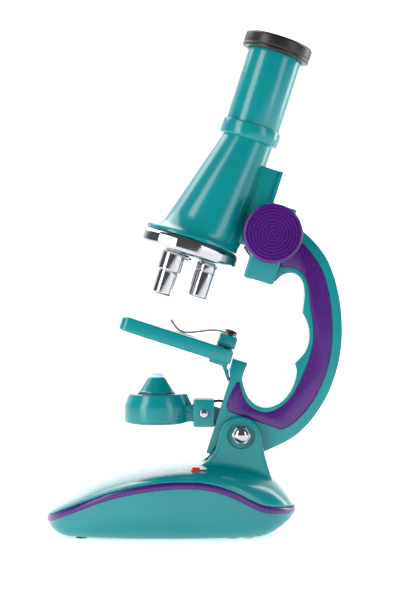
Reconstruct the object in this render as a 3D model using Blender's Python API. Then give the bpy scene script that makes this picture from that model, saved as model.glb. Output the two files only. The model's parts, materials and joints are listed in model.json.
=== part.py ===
"""Toy microscope with a tilting arm, a focus rack, a revolving turret and a battery lamp.

Sizes are in millimetres and MM turns them into metres. +Z is up and +X runs from the base's
nose to its heel. The arm group is drawn upright, with the tilt hinge as its origin, and an
empty leans it back by ARM_TILT. The lamp group has its own pivot and hangs level.
"""

import math

import bmesh
import bpy

MM = 0.001
GAP = 0.3
WELD = 1e-6

# Driving dimensions, in millimetres and degrees
HINGE_X = 20.4
HINGE_Z = 44.0
ARM_TILT = 17.8
OPTICAL_X = -36.3
TURRET_X = -46.6
FOCUS_X = -13.6
FOCUS_Z = 87.1
ARM_HALF = 8.0
HEAD_HALF = 11.0
EAR_INNER = 8.4
EAR_OUTER = 12.8
BASE_NOSE = -84.4
BASE_HEEL = 23.8
BASE_HALF_WIDTH = 34.0
BASE_UNDER = -43.2
FLOOR = -44.0
SHELL_WALL = 2.0
BAND_HALF = 1.3
BAND_PROUD = 0.5
STAGE_LOW = 27.7
STAGE_TOP = 33.9
STAGE_HALF = 25.0
CLIP_Y = 12.0
CLIP_X = -17.6
TOOTH_MODULE = 0.78
PINION_TEETH = 10
PITCH_RADIUS = TOOTH_MODULE * PINION_TEETH / 2
TOOTH_PITCH = math.pi * TOOTH_MODULE
LAMP_PIVOT_X = -18.0
LAMP_PIVOT_Z = 3.6
LAMP_X = -20.9
AA_RADIUS = 7.1
AA_LENGTH = 49.5
BATTERY_Y = 7.9
BATTERY_Z = BASE_UNDER + 2.2 + AA_RADIUS + GAP
BATTERY_X = -61.5
BAY_NOSE = BATTERY_X - 4.0
BAY_HEEL = BATTERY_X + AA_LENGTH + 4.0
COVER_SCREW_X = -36.8
NOSE_POST_X = -75.5
NOSE_POST_TOP = -31.8
HEEL_POST_X = 3.0
HEEL_POST_Y = 18.5
HEEL_POST_TOP = -18.8
FOOT_HALF = 2.4
FOOT_LENGTH = 32.0
SWITCH_X = -19.5
SWITCH_Y = -23.6
SWITCH_Z = -14.3
KNOB_BACK = 12.4
KNOB_FACE = 18.8
KNOB_RADIUS = 13.0
KNOB_RINGS = 4
RACK_LOW = 79.4
RACK_HIGH = 98.0

# (x, y, top of the screw post) for the screws that hold the two base shells together
SCREW_POSTS = ((NOSE_POST_X, 0.0, NOSE_POST_TOP), (HEEL_POST_X, HEEL_POST_Y, HEEL_POST_TOP),
               (HEEL_POST_X, -HEEL_POST_Y, HEEL_POST_TOP))
FEET = (("foot_front", -68.8), ("foot_rear", -4.0))

TEAL = (0.0, 0.30, 0.33)
PURPLE = (0.11, 0.01, 0.24)
BLACK = (0.02, 0.02, 0.022)
CHROME = (0.75, 0.76, 0.78)
STEEL = (0.5, 0.5, 0.52)
RED = (0.7, 0.02, 0.02)
GLASS = (0.8, 0.9, 0.95)
CELL = (0.25, 0.25, 0.27)
WHITE = (0.85, 0.85, 0.85)
RUBBER = (0.03, 0.03, 0.03)

for leftover in list(bpy.data.objects):
    bpy.data.objects.remove(leftover)


# ---- materials, objects and Booleans ----


def material(name, color, roughness=0.35, metallic=0.0):
    shade = bpy.data.materials.new(name)
    shade.use_nodes = True
    shader = shade.node_tree.nodes["Principled BSDF"]
    shader.inputs["Base Color"].default_value = (*color, 1.0)
    shader.inputs["Roughness"].default_value = roughness
    shader.inputs["Metallic"].default_value = metallic
    return shade


def pivot(name, x, z, turn=0.0, y=0.0, parent=None):
    """An empty on a joint's axis. It stands at (x, y, z) and turns about Y by turn degrees."""
    empty = bpy.data.objects.new(name, None)
    empty.location = (x * MM, y * MM, z * MM)
    empty.rotation_euler = (0.0, math.radians(turn), 0.0)
    empty.parent = parent
    bpy.context.collection.objects.link(empty)
    return empty


def place(name, shape, parent):
    bmesh.ops.remove_doubles(shape, verts=shape.verts, dist=WELD)
    bmesh.ops.dissolve_degenerate(shape, edges=shape.edges, dist=WELD)
    bmesh.ops.recalc_face_normals(shape, faces=shape.faces)
    mesh = bpy.data.meshes.new(name)
    shape.to_mesh(mesh)
    shape.free()
    mesh.shade_smooth()
    mesh.set_sharp_from_angle(angle=math.radians(35.0))
    obj = bpy.data.objects.new(name, mesh)
    obj.parent = parent
    bpy.context.collection.objects.link(obj)
    return obj


def piece(name, shape, color, parent, roughness=0.35, metallic=0.0):
    obj = place(name, shape, parent)
    obj.data.materials.append(material(name, color, roughness, metallic))
    return obj


def reshape(target, operation, *shapes):
    """Joins or cuts target with each shape, as a hidden tool that moves with it."""
    for shape in shapes:
        tool = place(f"tool_{target.name}", shape, target.parent)
        tool.hide_render = True
        tool.display_type = "WIRE"
        boolean = target.modifiers.new(operation.lower(), "BOOLEAN")
        boolean.operation = operation
        boolean.solver = "EXACT"
        boolean.object = tool


def tidy(target):
    """Merges the hair-thin edges that Booleans leave behind."""
    weld = target.modifiers.new("weld", "WELD")
    weld.merge_threshold = 0.00002


def join(target, *shapes):
    reshape(target, "UNION", *shapes)


def cut(target, *shapes):
    reshape(target, "DIFFERENCE", *shapes)


# ---- shapes ----


def loft(rings, ends=True):
    """Skins a list of point rings. With ends the first and last ring are filled."""
    shape = bmesh.new()
    loops = [[shape.verts.new([c * MM for c in point]) for point in ring] for ring in rings]
    count = len(loops[0])
    for low, high in zip(loops, loops[1:]):
        for i in range(count):
            j = (i + 1) % count
            shape.faces.new((low[i], low[j], high[j], high[i]))
    if ends:
        shape.faces.new(loops[0][::-1])
        shape.faces.new(loops[-1])
    return shape


def closed_loft(rings):
    """Skins rings whose last one meets the first again, as in a tube with a bore."""
    return loft(rings + [rings[0]], ends=False)


def circle(x, z, radius, count=36, y=0.0):
    turn = 2 * math.pi / count
    return [(x + radius * math.cos(i * turn), y + radius * math.sin(i * turn), z)
            for i in range(count)]


def cross_circle(x, z, radius, y, count=32):
    """A ring about an axis along Y."""
    turn = 2 * math.pi / count
    return [(x + radius * math.cos(i * turn), y, z + radius * math.sin(i * turn))
            for i in range(count)]


def lengthwise_circle(x, y, z, radius, count):
    """A ring about an axis along X."""
    turn = 2 * math.pi / count
    return [(x, y + radius * math.cos(i * turn), z + radius * math.sin(i * turn))
            for i in range(count)]


def turned(x, profile, count=36, y=0.0):
    """A solid of revolution about a vertical axis, from (radius, z) pairs, bottom to top."""
    return loft([circle(x, z, radius, count, y) for radius, z in profile])


def hollow_turned(x, profile, count=36, y=0.0):
    return closed_loft([circle(x, z, radius, count, y) for radius, z in profile])


def cross_turned(x, z, profile, count=32):
    """A solid of revolution about an axis along Y, from (radius, y) pairs."""
    return loft([cross_circle(x, z, radius, y, count) for radius, y in profile])


def block(low, high):
    (x0, y0, z0), (x1, y1, z1) = low, high
    return loft([[(x0, y0, z), (x1, y0, z), (x1, y1, z), (x0, y1, z)] for z in (z0, z1)])


def prism(outline, y0, y1):
    """An (x, z) outline drawn out along Y."""
    return loft([[(x, y, z) for x, z in outline] for y in (y0, y1)])


def plate(outline, z0, z1):
    """An (x, y) outline drawn out along Z."""
    return loft([[(x, y, z) for x, y in outline] for z in (z0, z1)])


def arc(x, z, radius, start, end, steps=8):
    angles = [math.radians(start + (end - start) * i / steps) for i in range(steps + 1)]
    return [(x + radius * math.cos(a), z + radius * math.sin(a)) for a in angles]


def rounded(x0, z0, x1, z1, radius, steps=4):
    corners = ((x1, z1, 0), (x0, z1, 90), (x0, z0, 180), (x1, z0, 270))
    outline = []
    for x, z, angle in corners:
        cx = x - radius if x == x1 else x + radius
        cz = z - radius if z == z1 else z + radius
        outline += arc(cx, cz, radius, angle, angle + 90, steps)
    return outline


def through(points, steps=5):
    """A smooth Catmull-Rom curve through the points, steps pieces between each pair."""
    ends = [points[0]] + list(points) + [points[-1]]
    curve = [points[0]]
    for a, b, c, d in zip(ends, ends[1:], ends[2:], ends[3:]):
        for i in range(1, steps + 1):
            t = i / steps
            curve.append(tuple(
                0.5 * (2 * q + (r - p) * t + (2 * p - 5 * q + 4 * r - s) * t * t
                       + (3 * q - p - 3 * r + s) * t ** 3)
                for p, q, r, s in zip(a, b, c, d)))
    return curve


def height_along(points, x):
    """Reads a smooth line of (x, height) points at x."""
    x = min(max(x, points[0][0]), points[-1][0])
    slopes = []
    for i in range(len(points)):
        before, after = points[max(i - 1, 0)], points[min(i + 1, len(points) - 1)]
        slopes.append((after[1] - before[1]) / (after[0] - before[0]))
    for i in range(len(points) - 1):
        (x0, h0), (x1, h1) = points[i], points[i + 1]
        if x <= x1:
            span = x1 - x0
            t = (x - x0) / span
            return ((1 + 2 * t) * (1 - t) ** 2 * h0 + t * (1 - t) ** 2 * span * slopes[i]
                    + t * t * (3 - 2 * t) * h1 + t * t * (t - 1) * span * slopes[i + 1])


def pull_in(curve, distance):
    """Moves an open (x, z) curve to its right-hand side by distance."""
    moved = []
    for i, (x, z) in enumerate(curve):
        (xa, za), (xb, zb) = curve[max(i - 1, 0)], curve[min(i + 1, len(curve) - 1)]
        length = math.hypot(xb - xa, zb - za)
        moved.append((x + (zb - za) / length * distance, z - (xb - xa) / length * distance))
    return moved


def wire(name, points, radius, color, parent, steps=3):
    """A round wire along a smooth line through the points."""
    curve = bpy.data.curves.new(name, "CURVE")
    curve.dimensions = "3D"
    curve.bevel_depth = radius * MM
    curve.bevel_resolution = 2
    curve.use_fill_caps = True
    route = through(points, steps)
    spline = curve.splines.new("POLY")
    spline.points.add(len(route) - 1)
    for point, place_mm in zip(spline.points, route):
        point.co = (*[c * MM for c in place_mm], 1.0)
    curve.materials.append(material(name, color, 0.5))
    obj = bpy.data.objects.new(name, curve)
    obj.parent = parent
    bpy.context.collection.objects.link(obj)
    return obj


def screw(x, z_head, length, head_radius=2.6, head=1.5, shank_radius=1.2, y=0.0, up=1):
    """A pan-head screw on a vertical axis, its head below (up=1) or above (up=-1)."""
    profile = [(head_radius * 0.7, z_head), (head_radius, z_head + 0.4 * head * up),
               (head_radius, z_head + head * up), (shank_radius, z_head + head * up),
               (shank_radius, z_head + length * up)]
    return loft([circle(x, z, radius, 12, y) for radius, z in profile])


# ---- base: its outline lines, in hinge coordinates ----

SEAM = [(-84.4, -36.6), (-73.0, -31.4), (-57.0, -25.0), (-42.0, -21.5), (-27.6, -20.0), (-16.2, -20.4),
        (-6.4, -23.0), (1.0, -26.6), (7.5, -30.0), (12.0, -31.3), (23.8, -32.6)]
CREST = [(-84.4, -36.2), (-80.7, -32.6), (-69.3, -24.8), (-57.9, -19.4), (-42.9, -15.6), (-20.0, -12.9),
         (-8.0, -12.9), (4.0, -14.6), (13.3, -18.6), (19.4, -24.6), (22.8, -30.2), (23.8, -32.2)]
UNDER = [(-84.4, -37.2), (-83.2, -39.6), (-79.0, -42.2), (-73.0, BASE_UNDER), (6.0, BASE_UNDER),
         (12.5, -42.0), (20.9, -37.0), (23.8, -33.2)]
WIDEST = 0.46
STATIONS = 20
ARCS = 12


def base_station(i, inset=0.0):
    """The x of station i, the stations lying closer together at the two ends."""
    share = (1 - math.cos(math.pi * i / STATIONS)) / 2
    return BASE_NOSE + inset + (BASE_HEEL - BASE_NOSE - 2 * inset) * share


def half_width(x):
    share = (x - BASE_NOSE) / (BASE_HEEL - BASE_NOSE)
    reach = WIDEST if share < WIDEST else 1 - WIDEST
    off = min(abs(share - WIDEST) / reach, 1.0)
    return BASE_HALF_WIDTH * (1 - off ** 2.5) ** (1 / 2.5)


def section(x, width, rim, far, power, flat):
    """A half ring in the YZ plane from +Y over the far height to -Y. flat above 1 levels its middle."""
    points = []
    for k in range(ARCS + 1):
        angle = math.pi * k / ARCS
        side = math.copysign(abs(math.cos(angle)) ** (2 / power), math.cos(angle))
        rise = min(flat * abs(math.sin(angle)) ** (2 / power), 1.0)
        points.append((x, width * side, rim + (far - rim) * rise))
    return points


def shell_height(line, sign, x):
    """How far a shell stands off its rim at x, never less than a shallow curve near the two ends."""
    rim = height_along(SEAM, x) + sign * (BAND_HALF + GAP)
    return max(sign * (height_along(line, x) - rim), 0.12 * half_width(x))


def base_shell(line, sign, power, flat):
    """One shell of the base. sign is +1 for the upper one and -1 for the lower one."""
    rings = []
    rim_off = sign * (BAND_HALF + GAP)
    for i in range(STATIONS + 1):
        x, inner_x = base_station(i), base_station(i, SHELL_WALL)
        at_end = i in (0, STATIONS)
        rise = 0.0 if at_end else shell_height(line, sign, x)
        depth = 0.0 if at_end else max(shell_height(line, sign, inner_x) - SHELL_WALL, 0.3)
        rim, inner_rim = height_along(SEAM, x) + rim_off, height_along(SEAM, inner_x) + rim_off
        width = half_width(x)
        narrow = width * (1 - SHELL_WALL / BASE_HALF_WIDTH)
        outer = section(x, width, rim, rim + sign * rise, power, flat)
        inner = section(inner_x, narrow, inner_rim, inner_rim + sign * depth, power, flat)
        rings.append(outer + inner[::-1])
    return loft(rings, ends=False)


def perimeter(grow, lift):
    """The base's edge in plan, grown by grow and lifted off the seam by lift."""
    loop = []
    for side, order in ((1, range(STATIONS + 1)), (-1, range(STATIONS - 1, 0, -1))):
        for i in order:
            x = base_station(i, -grow)
            width = half_width(base_station(i)) * (1 + grow / BASE_HALF_WIDTH)
            loop.append((x, side * width, height_along(SEAM, x) + lift))
    return loop


def tower_ear(y0, y1):
    """One ear of the fork that holds the arm, with its foot sunk in the upper shell."""
    left = through([(-9.8, -2.2), (-11.6, -7.0), (-14.6, -11.2), (-19.5, -14.0)], 3)
    right = through([(13.6, -19.5), (11.0, -11.0), (9.0, -2.6)], 3)
    crown = arc(-0.4, -1.6, 9.4, 0, 172, 12)[1:]
    foot = [(-19.5, -15.5), (-10.0, -17.0), (12.0, -22.0)]
    return prism(left + foot + right + crown, y0, y1)


def foot_pad(x, half, z0, z1):
    """A rubber strip across the base, with round ends."""
    reach = FOOT_LENGTH / 2 + half
    return plate(rounded(x - half, -reach, x + half, reach, half * 0.98, 4), z0, z1)


def base_pieces(root):
    upper = piece("base_upper_shell", base_shell(CREST, 1, 2.3, 1.0), TEAL, root)
    join(upper, tower_ear(-EAR_OUTER, -EAR_INNER), tower_ear(EAR_INNER, EAR_OUTER))
    for x, y, top in SCREW_POSTS:
        join(upper, turned(x, [(3.2, BASE_UNDER + 5.2), (3.2, top)], 10, y))
    tidy(upper)
    recess = 1.6
    cut(upper,
        cross_turned(0, 0, [(6.1, -EAR_OUTER - 1), (6.1, -EAR_OUTER + recess)], 24),
        cross_turned(0, 0, [(6.1, EAR_OUTER - recess), (6.1, EAR_OUTER + 1)], 24),
        cross_turned(0, 0, [(2.4, -EAR_OUTER - 1), (2.4, EAR_OUTER + 1)], 16))
    for x, y, _ in SCREW_POSTS:
        cut(upper, turned(x, [(1.5, BASE_UNDER + 4), (1.5, BASE_UNDER + 10.6)], 10, y))
    slot = rounded(SWITCH_X - 2.1, SWITCH_Y - 1.6, SWITCH_X + 5.6, SWITCH_Y + 1.6, 0.5, 2)
    cut(upper, plate(slot, SWITCH_Z - 6, SWITCH_Z + 8))
    band = [perimeter(BAND_PROUD * 0.4, -BAND_HALF), perimeter(BAND_PROUD, -BAND_HALF * 0.5),
            perimeter(BAND_PROUD, BAND_HALF * 0.5), perimeter(BAND_PROUD * 0.4, BAND_HALF),
            perimeter(-3.0, BAND_HALF), perimeter(-3.0, -BAND_HALF)]
    piece("base_trim_band", closed_loft(band), PURPLE, root)
    lower = piece("base_lower_shell", base_shell(UNDER, -1, 3.4, 1.15), TEAL, root)
    bay_low, bay_high = BATTERY_X - 3.0, BATTERY_X + AA_LENGTH + 2.8
    cut(lower, block((bay_low, -16.8, BASE_UNDER - 2), (bay_high, 16.8, BASE_UNDER + 6)))
    for x, y, _ in SCREW_POSTS:
        cut(lower, turned(x, [(3.2, BASE_UNDER - 1), (3.2, BASE_UNDER + 0.9)], 12, y),
            turned(x, [(1.5, BASE_UNDER - 2), (1.5, BASE_UNDER + 5)], 10, y))
    for _, x in FEET:
        cut(lower, foot_pad(x, FOOT_HALF + GAP, BASE_UNDER - 1, BASE_UNDER + 0.8))
    for number, (x, y, _) in enumerate(SCREW_POSTS, 1):
        piece(f"base_screw_{number}", screw(x, BASE_UNDER - 0.7, 10.8, y=y), STEEL, root, 0.3, 1.0)
    for name, x in FEET:
        piece(name, foot_pad(x, FOOT_HALF, FLOOR, BASE_UNDER + 0.5), RUBBER, root, 0.8)
    lid = block((bay_low + GAP, -16.5, BASE_UNDER), (bay_high - GAP, 16.5, BASE_UNDER + 1.8))
    lid = piece("battery_cover", lid, TEAL, root)
    cut(lid, turned(COVER_SCREW_X, [(1.5, BASE_UNDER - 1), (1.5, BASE_UNDER + 3)], 12),
        turned(COVER_SCREW_X, [(2.9, BASE_UNDER - 1), (2.9, BASE_UNDER + 0.9)], 12))
    piece("cover_screw", screw(COVER_SCREW_X, BASE_UNDER - 0.7, 5.0), STEEL, root, 0.3, 1.0)


# ---- base: batteries, contacts and switch ----

def spring(name, x, y, way, parent):
    """A conical battery spring on an axis along X, widest at its plate at x, running way (1 or -1)."""
    turns, steps, sides, wire_radius = 4, 8, 4, 0.35
    rings = []
    for i in range(turns * steps + 1):
        share = i / (turns * steps)
        angle = 2 * math.pi * i / steps
        coil = 3.4 - 1.4 * share
        ring = []
        for k in range(sides):
            around = 2 * math.pi * k / sides
            reach = coil + wire_radius * math.cos(around)
            along = x + way * (0.7 + 2.8 * share + wire_radius * math.sin(around))
            ring.append((along, y + reach * math.cos(angle), BATTERY_Z + reach * math.sin(angle)))
        rings.append(ring)
    piece(name, loft(rings), STEEL, parent, 0.25, 1.0)


def turned_along_x(x0, x1, y, radius):
    """A contact's round boss, drawn along X at the cells' height."""
    return loft([lengthwise_circle(x, y, BATTERY_Z, radius, 12) for x in (x0, x1)])


def cell(name, x, y, way, parent):
    """An AA cell on an axis along X, its flat end at x and its button end the other way."""
    profile = [(AA_RADIUS - 0.6, 0.0), (AA_RADIUS, 0.6), (AA_RADIUS, AA_LENGTH - 1.8),
               (AA_RADIUS - 0.6, AA_LENGTH - 1.2), (2.7, AA_LENGTH - 1.2), (2.7, AA_LENGTH)]
    rings = [lengthwise_circle(x + way * along, y, BATTERY_Z, radius, 18) for radius, along in profile]
    piece(name, loft(rings), CELL, parent, 0.3, 0.6)


def electric_pieces(root):
    """Two cells lie head to tail: a bridge joins them at the nose, and each has a contact at the heel."""
    cell("battery_1", BATTERY_X, -BATTERY_Y, 1, root)
    cell("battery_2", BATTERY_X + AA_LENGTH, BATTERY_Y, -1, root)
    spring("battery_spring_1", BAY_NOSE, -BATTERY_Y, 1, root)
    spring("battery_spring_2", BAY_HEEL, BATTERY_Y, -1, root)
    low, high = BATTERY_Z - 5.0, BATTERY_Z + 5.0
    strip = block((BAY_NOSE - 0.5, -13.5, low), (BAY_NOSE, 13.5, high))
    bridge = piece("contact_bridge", strip, STEEL, root, 0.3, 1.0)
    join(bridge, turned_along_x(BAY_NOSE - 0.2, BATTERY_X - GAP, BATTERY_Y, 2.4))
    strip = block((BAY_HEEL, -13.5, low), (BAY_HEEL + 0.5, -1.5, high))
    contact = piece("contact_plus", strip, STEEL, root, 0.3, 1.0)
    join(contact, turned_along_x(BATTERY_X + AA_LENGTH + GAP, BAY_HEEL + 0.2, -BATTERY_Y, 2.4))
    strip = block((BAY_HEEL, 1.5, low), (BAY_HEEL + 0.5, 13.5, high))
    piece("contact_minus", strip, STEEL, root, 0.3, 1.0)
    body = block((SWITCH_X - 4.0, SWITCH_Y - 2.6, SWITCH_Z - 5.6),
                 (SWITCH_X + 7.5, SWITCH_Y + 2.6, SWITCH_Z - 2.9))
    body = piece("switch_body", body, BLACK, root)
    cut(body, block((SWITCH_X - 2.2, SWITCH_Y - 1.6, SWITCH_Z - 4.5),
                    (SWITCH_X + 5.7, SWITCH_Y + 1.6, SWITCH_Z - 2.0)))
    route = [(BAY_HEEL + 1.4, -9.0, low + 3.0), (BAY_HEEL + 3.4, -10.0, low + 5.0),
             (-4.0, -13.0, -27.5), (-6.5, -18.5, -22.0), (-10.8, -23.5, SWITCH_Z - 4.4)]
    wire("supply_lead", route, 0.6, BLACK, root)


def switch_pieces(parent):
    """The slider's knob stands out of the slot and its foot runs in the switch body."""
    piece("switch_knob", block((-1.7, -1.2, -4.1), (1.7, 1.2, 1.4)), RED, parent)


# ---- tilt hinge ----


def hinge_pieces(root):
    head = cross_turned(0, 0, [(3.6, -15.4), (4.3, -14.9), (4.3, -11.6), (2.0, -11.6), (2.0, 15.6)], 6)
    bolt = piece("hinge_bolt", head, CHROME, root, 0.15, 1.0)
    join(bolt, cross_turned(0, 0, [(0.8, -17.0), (2.2, -16.5), (3.1, -15.6), (3.3, -14.8)], 18))
    nut = cross_turned(0, 0, [(4.3, 11.6), (4.3, 14.6), (3.8, 15.0)], 6)
    ring = piece("hinge_nut", nut, CHROME, root, 0.15, 1.0)
    cut(ring, cross_turned(0, 0, [(2.3, 10), (2.3, 18)], 16))


# ---- arm ----

ARM_OUTER = [(-8.0, 95.0), (-0.9, 92.4), (6.6, 88.6), (13.2, 83.4), (19.8, 74.8), (25.5, 63.8),
             (29.5, 51.9), (31.2, 40.5), (30.8, 28.6), (28.2, 17.6), (24.2, 8.8), (19.8, 3.1), (13.2, -3.1)]
GRIP_TOP = [(-8.0, 66.8), (-5.9, 68.2), (-4.2, 71.2), (-1.0, 73.6), (2.6, 73.5), (5.7, 71.0), (7.9, 66.2),
            (8.8, 61.8), (9.5, 58.6)]
GRIP_MIDDLE = [(9.5, 58.6), (12.3, 55.6), (14.6, 52.0), (15.9, 47.5), (15.8, 43.0), (14.5, 39.6),
               (13.0, 36.6)]
GRIP_LOW = [(13.0, 36.6), (14.8, 33.6), (15.4, 28.6), (14.5, 22.9), (11.9, 17.9), (7.7, 14.7), (3.5, 14.0),
            (-0.9, 15.6), (-4.4, 19.2), (-6.6, 22.9), (-7.0, 26.0)]
INSERT_OUTER = [(-6.1, 88.9), (-1.5, 88.2), (5.0, 84.6), (11.6, 79.2), (17.4, 70.8), (22.2, 60.6),
                (25.6, 49.8), (27.0, 39.8), (26.6, 29.4), (24.4, 20.2), (21.0, 12.8), (17.6, 8.6)]
INSERT_INNER = [(-6.1, 74.6), (-3.4, 75.6), (0.6, 76.2), (4.8, 74.6), (8.6, 69.8), (11.4, 63.2),
                (14.8, 56.4), (17.6, 48.6), (18.2, 40.2), (17.6, 31.6), (16.4, 23.8), (13.4, 17.2),
                (9.0, 13.0), (4.2, 11.9), (-0.8, 13.2), (-4.6, 16.6), (-7.4, 21.2)]
RIM_LINE = pull_in(through(ARM_OUTER, 2), 2.05)
ARM_SCREWS = [RIM_LINE[i] for i in (8, 18)]


def arm_outline():
    grip = through(GRIP_TOP, 2) + through(GRIP_MIDDLE, 2)[1:] + through(GRIP_LOW, 2)[1:]
    front = [(-6.6, 30.4), (-13.2, 30.4), (-13.2, 25.1), (-11.9, 22.0), (-11.9, -12.3), (-9.6, -12.3),
             (-9.0, -8.0)]
    heel = arc(0, 0, 11.6, 232, 330, 8)
    back = through(ARM_OUTER, 2)[::-1]
    return grip + front + heel + back


def insert_outline():
    """The inset purple panel: it ends at the head block above and in a straight edge below."""
    outer = through(INSERT_OUTER, 2)
    inner = through(INSERT_INNER, 2)[::-1]
    toe = [(-8.4, 21.0), (-9.7, 15.4), (-9.7, 10.0), (-7.8, 7.8), (15.6, 7.4)]
    return outer + toe[::-1] + inner


def pocket_outline():
    """The hollow inside the arm, 1 mm in from the insert's outline and short of its narrow tip."""
    outer = pull_in(INSERT_OUTER, 1.0)
    inner = pull_in(INSERT_INNER[:-1], -1.0)[::-1]
    return outer + [(15.4, 8.8), (-7.8, 8.8), (-8.6, 9.8), (-8.6, 14.0)] + inner


def shrink(outline, distance):
    """Moves a closed outline inwards."""
    area = sum(x0 * z1 - x1 * z0 for (x0, z0), (x1, z1) in zip(outline, outline[1:] + outline[:1]))
    side = -1 if area > 0 else 1
    moved = []
    for i, (x, z) in enumerate(outline):
        (xa, za), (xb, zb) = outline[i - 1], outline[(i + 1) % len(outline)]
        length = math.hypot(xb - xa, zb - za)
        moved.append((x + side * (zb - za) / length * distance, z - side * (xb - xa) / length * distance))
    return moved


def head_cuts():
    """The room inside the head block: slide channel, its grooves, the pinion's space and bore."""
    return (block((-22.0, -7.2, 60.0), (-16.3, 7.2, 106.0)),
            block((-18.9, -8.8, 60.0), (-16.9, 8.8, 106.0)),
            block((-17.5, -7.2, 80.0), (-8.8, 7.2, 94.0)),
            cross_turned(FOCUS_X, FOCUS_Z, [(1.9, -14.0), (1.9, 14.0)], 16))


def lamp_lug():
    """The lamp's pivot lug on the arm's front edge, half a thickness on each half of the arm."""
    low, high = LAMP_PIVOT_Z - 4.2, LAMP_PIVOT_Z + 4.2
    return [(-10.6, low), (-10.6, high)] + arc(LAMP_PIVOT_X, LAMP_PIVOT_Z, 4.2, 90, 270, 6)


def arm_half(name, side, parent):
    """One moulded half of the arm, from the middle plane out to its face."""
    def span(near, far):
        return sorted((side * near, side * far))

    half = piece(name, prism(arm_outline(), *span(GAP / 2, ARM_HALF)), TEAL, parent)
    join(half, prism(rounded(-19.8, 66.0, -6.6, 100.3, 1.0, 2), *span(GAP / 2, HEAD_HALF)))
    join(half, prism(lamp_lug(), *span(GAP / 2, 3.0)))
    cut(half, *head_cuts())
    cut(half, prism(shrink(insert_outline(), -GAP), *span(ARM_HALF - 1.2, ARM_HALF + 1)),
        prism(pocket_outline(), *span(-1, ARM_HALF - 3.0)),
        cross_turned(0, 0, [(2.4, -14), (2.4, 14)], 16),
        cross_turned(LAMP_PIVOT_X, LAMP_PIVOT_Z, [(1.6, -5.0), (1.6, 5.0)], 12),
        block((-14.0, -3.3, 19.9), (-9.5, 3.3, 24.5)), block((-14.0, -1.0, 10.0), (-8.0, 1.0, 12.0)))
    for x, z in ARM_SCREWS:
        if side > 0:
            cut(half, cross_turned(x, z, [(1.1, -2.0), (1.1, ARM_HALF + 2)], 10),
                cross_turned(x, z, [(1.7, ARM_HALF - 1.4), (1.7, ARM_HALF + 2)], 10))
        else:
            cut(half, cross_turned(x, z, [(1.1, -5.0), (1.1, 2.0)], 10))


def arm_pieces(arm):
    arm_half("arm_near_half", -1, arm)
    arm_half("arm_far_half", 1, arm)
    face = ARM_HALF - 0.9
    piece("arm_insert_near", prism(insert_outline(), -ARM_HALF, -face), PURPLE, arm)
    piece("arm_insert_far", prism(insert_outline(), face, ARM_HALF), PURPLE, arm)
    for number, (x, z) in enumerate(ARM_SCREWS, 1):
        profile = [(0.8, -4.6), (0.8, ARM_HALF - 1.1), (1.4, ARM_HALF - 1.1), (1.4, ARM_HALF - 0.2)]
        piece(f"arm_screw_{number}", cross_turned(x, z, profile, 10), STEEL, arm, 0.3, 1.0)


# ---- focus: rack, pinion, shaft and knobs ----


def focus_shaft_pieces(parent):
    """The turning group, drawn about its own axis along Y."""
    piece("focus_shaft", cross_turned(0, 0, [(1.4, -17.0), (1.6, -16.6), (1.6, 16.6), (1.4, 17.0)], 14),
          STEEL, parent, 0.25, 1.0)
    root, tip = PITCH_RADIUS - 1.0 * TOOTH_MODULE - 0.12, PITCH_RADIUS + TOOTH_MODULE - 0.14
    outline = []
    for tooth in range(PINION_TEETH):
        middle = math.pi + 2 * math.pi * tooth / PINION_TEETH
        for radius, half_tooth in ((root, 0.62), (PITCH_RADIUS, 0.46), (tip, 0.2)):
            outline.append((radius, middle - half_tooth / radius))
        for radius, half_tooth in ((tip, 0.2), (PITCH_RADIUS, 0.46), (root, 0.62)):
            outline.append((radius, middle + half_tooth / radius))
    points = [(radius * math.cos(a), radius * math.sin(a)) for radius, a in outline]
    pinion = piece("focus_pinion", prism(points, -3.2, 3.2), WHITE, parent)
    cut(pinion, cross_turned(0, 0, [(1.9, -5.0), (1.9, 5.0)], 14))
    for name, side in (("focus_knob_near", -1), ("focus_knob_far", 1)):
        knob = piece(name, cross_turned(0, 0, knob_profile(side), 28), PURPLE, parent)
        cut(knob, cross_turned(0, 0, [(1.9, side * 9.0), (1.9, side * 17.4)], 14))


def knob_profile(side):
    """(radius, y) pairs: hub, back, rim, and a face with KNOB_RINGS ring grooves."""
    profile = [(4.0, HEAD_HALF + 0.4), (4.0, KNOB_BACK), (KNOB_RADIUS - 0.8, KNOB_BACK),
               (KNOB_RADIUS, KNOB_BACK + 0.8), (KNOB_RADIUS, KNOB_FACE - 0.9),
               (KNOB_RADIUS - 0.7, KNOB_FACE)]
    step = 11.2 / KNOB_RINGS
    for ring in range(KNOB_RINGS):
        outer = 11.6 - ring * step
        profile += [(outer, KNOB_FACE), (outer - 0.5 * step, KNOB_FACE - 0.45)]
    return [(radius, side * y) for radius, y in profile]


def rack(parent):
    """The rack strip: each tooth stands half a pitch off the pinion's axis height."""
    base, root, tip = -19.8, FOCUS_X - PITCH_RADIUS - 0.9, FOCUS_X - PITCH_RADIUS + 0.72
    middle = FOCUS_X - PITCH_RADIUS
    outline = [(base, RACK_LOW), (root, RACK_LOW)]
    below = int((FOCUS_Z - RACK_LOW - 0.72) / TOOTH_PITCH + 0.5)
    above = int((RACK_HIGH - FOCUS_Z - 0.72) / TOOTH_PITCH - 0.5)
    for k in range(-below, above + 1):
        z = FOCUS_Z + (k + 0.5) * TOOTH_PITCH
        outline += [(root, z - 0.72), (middle, z - 0.46), (tip, z - 0.24),
                    (tip, z + 0.24), (middle, z + 0.46), (root, z + 0.72)]
    outline += [(root, RACK_HIGH), (base, RACK_HIGH)]
    piece("focus_rack", prism(outline, -3.4, 3.4), WHITE, parent)


# ---- body tube and eyepiece ----


def offset_rings(rings, count=36):
    """Rings of (x, radius, z), whose centres may step sideways, as an oblique cone needs."""
    return [circle(x, z, radius, count) for x, radius, z in rings]


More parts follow.
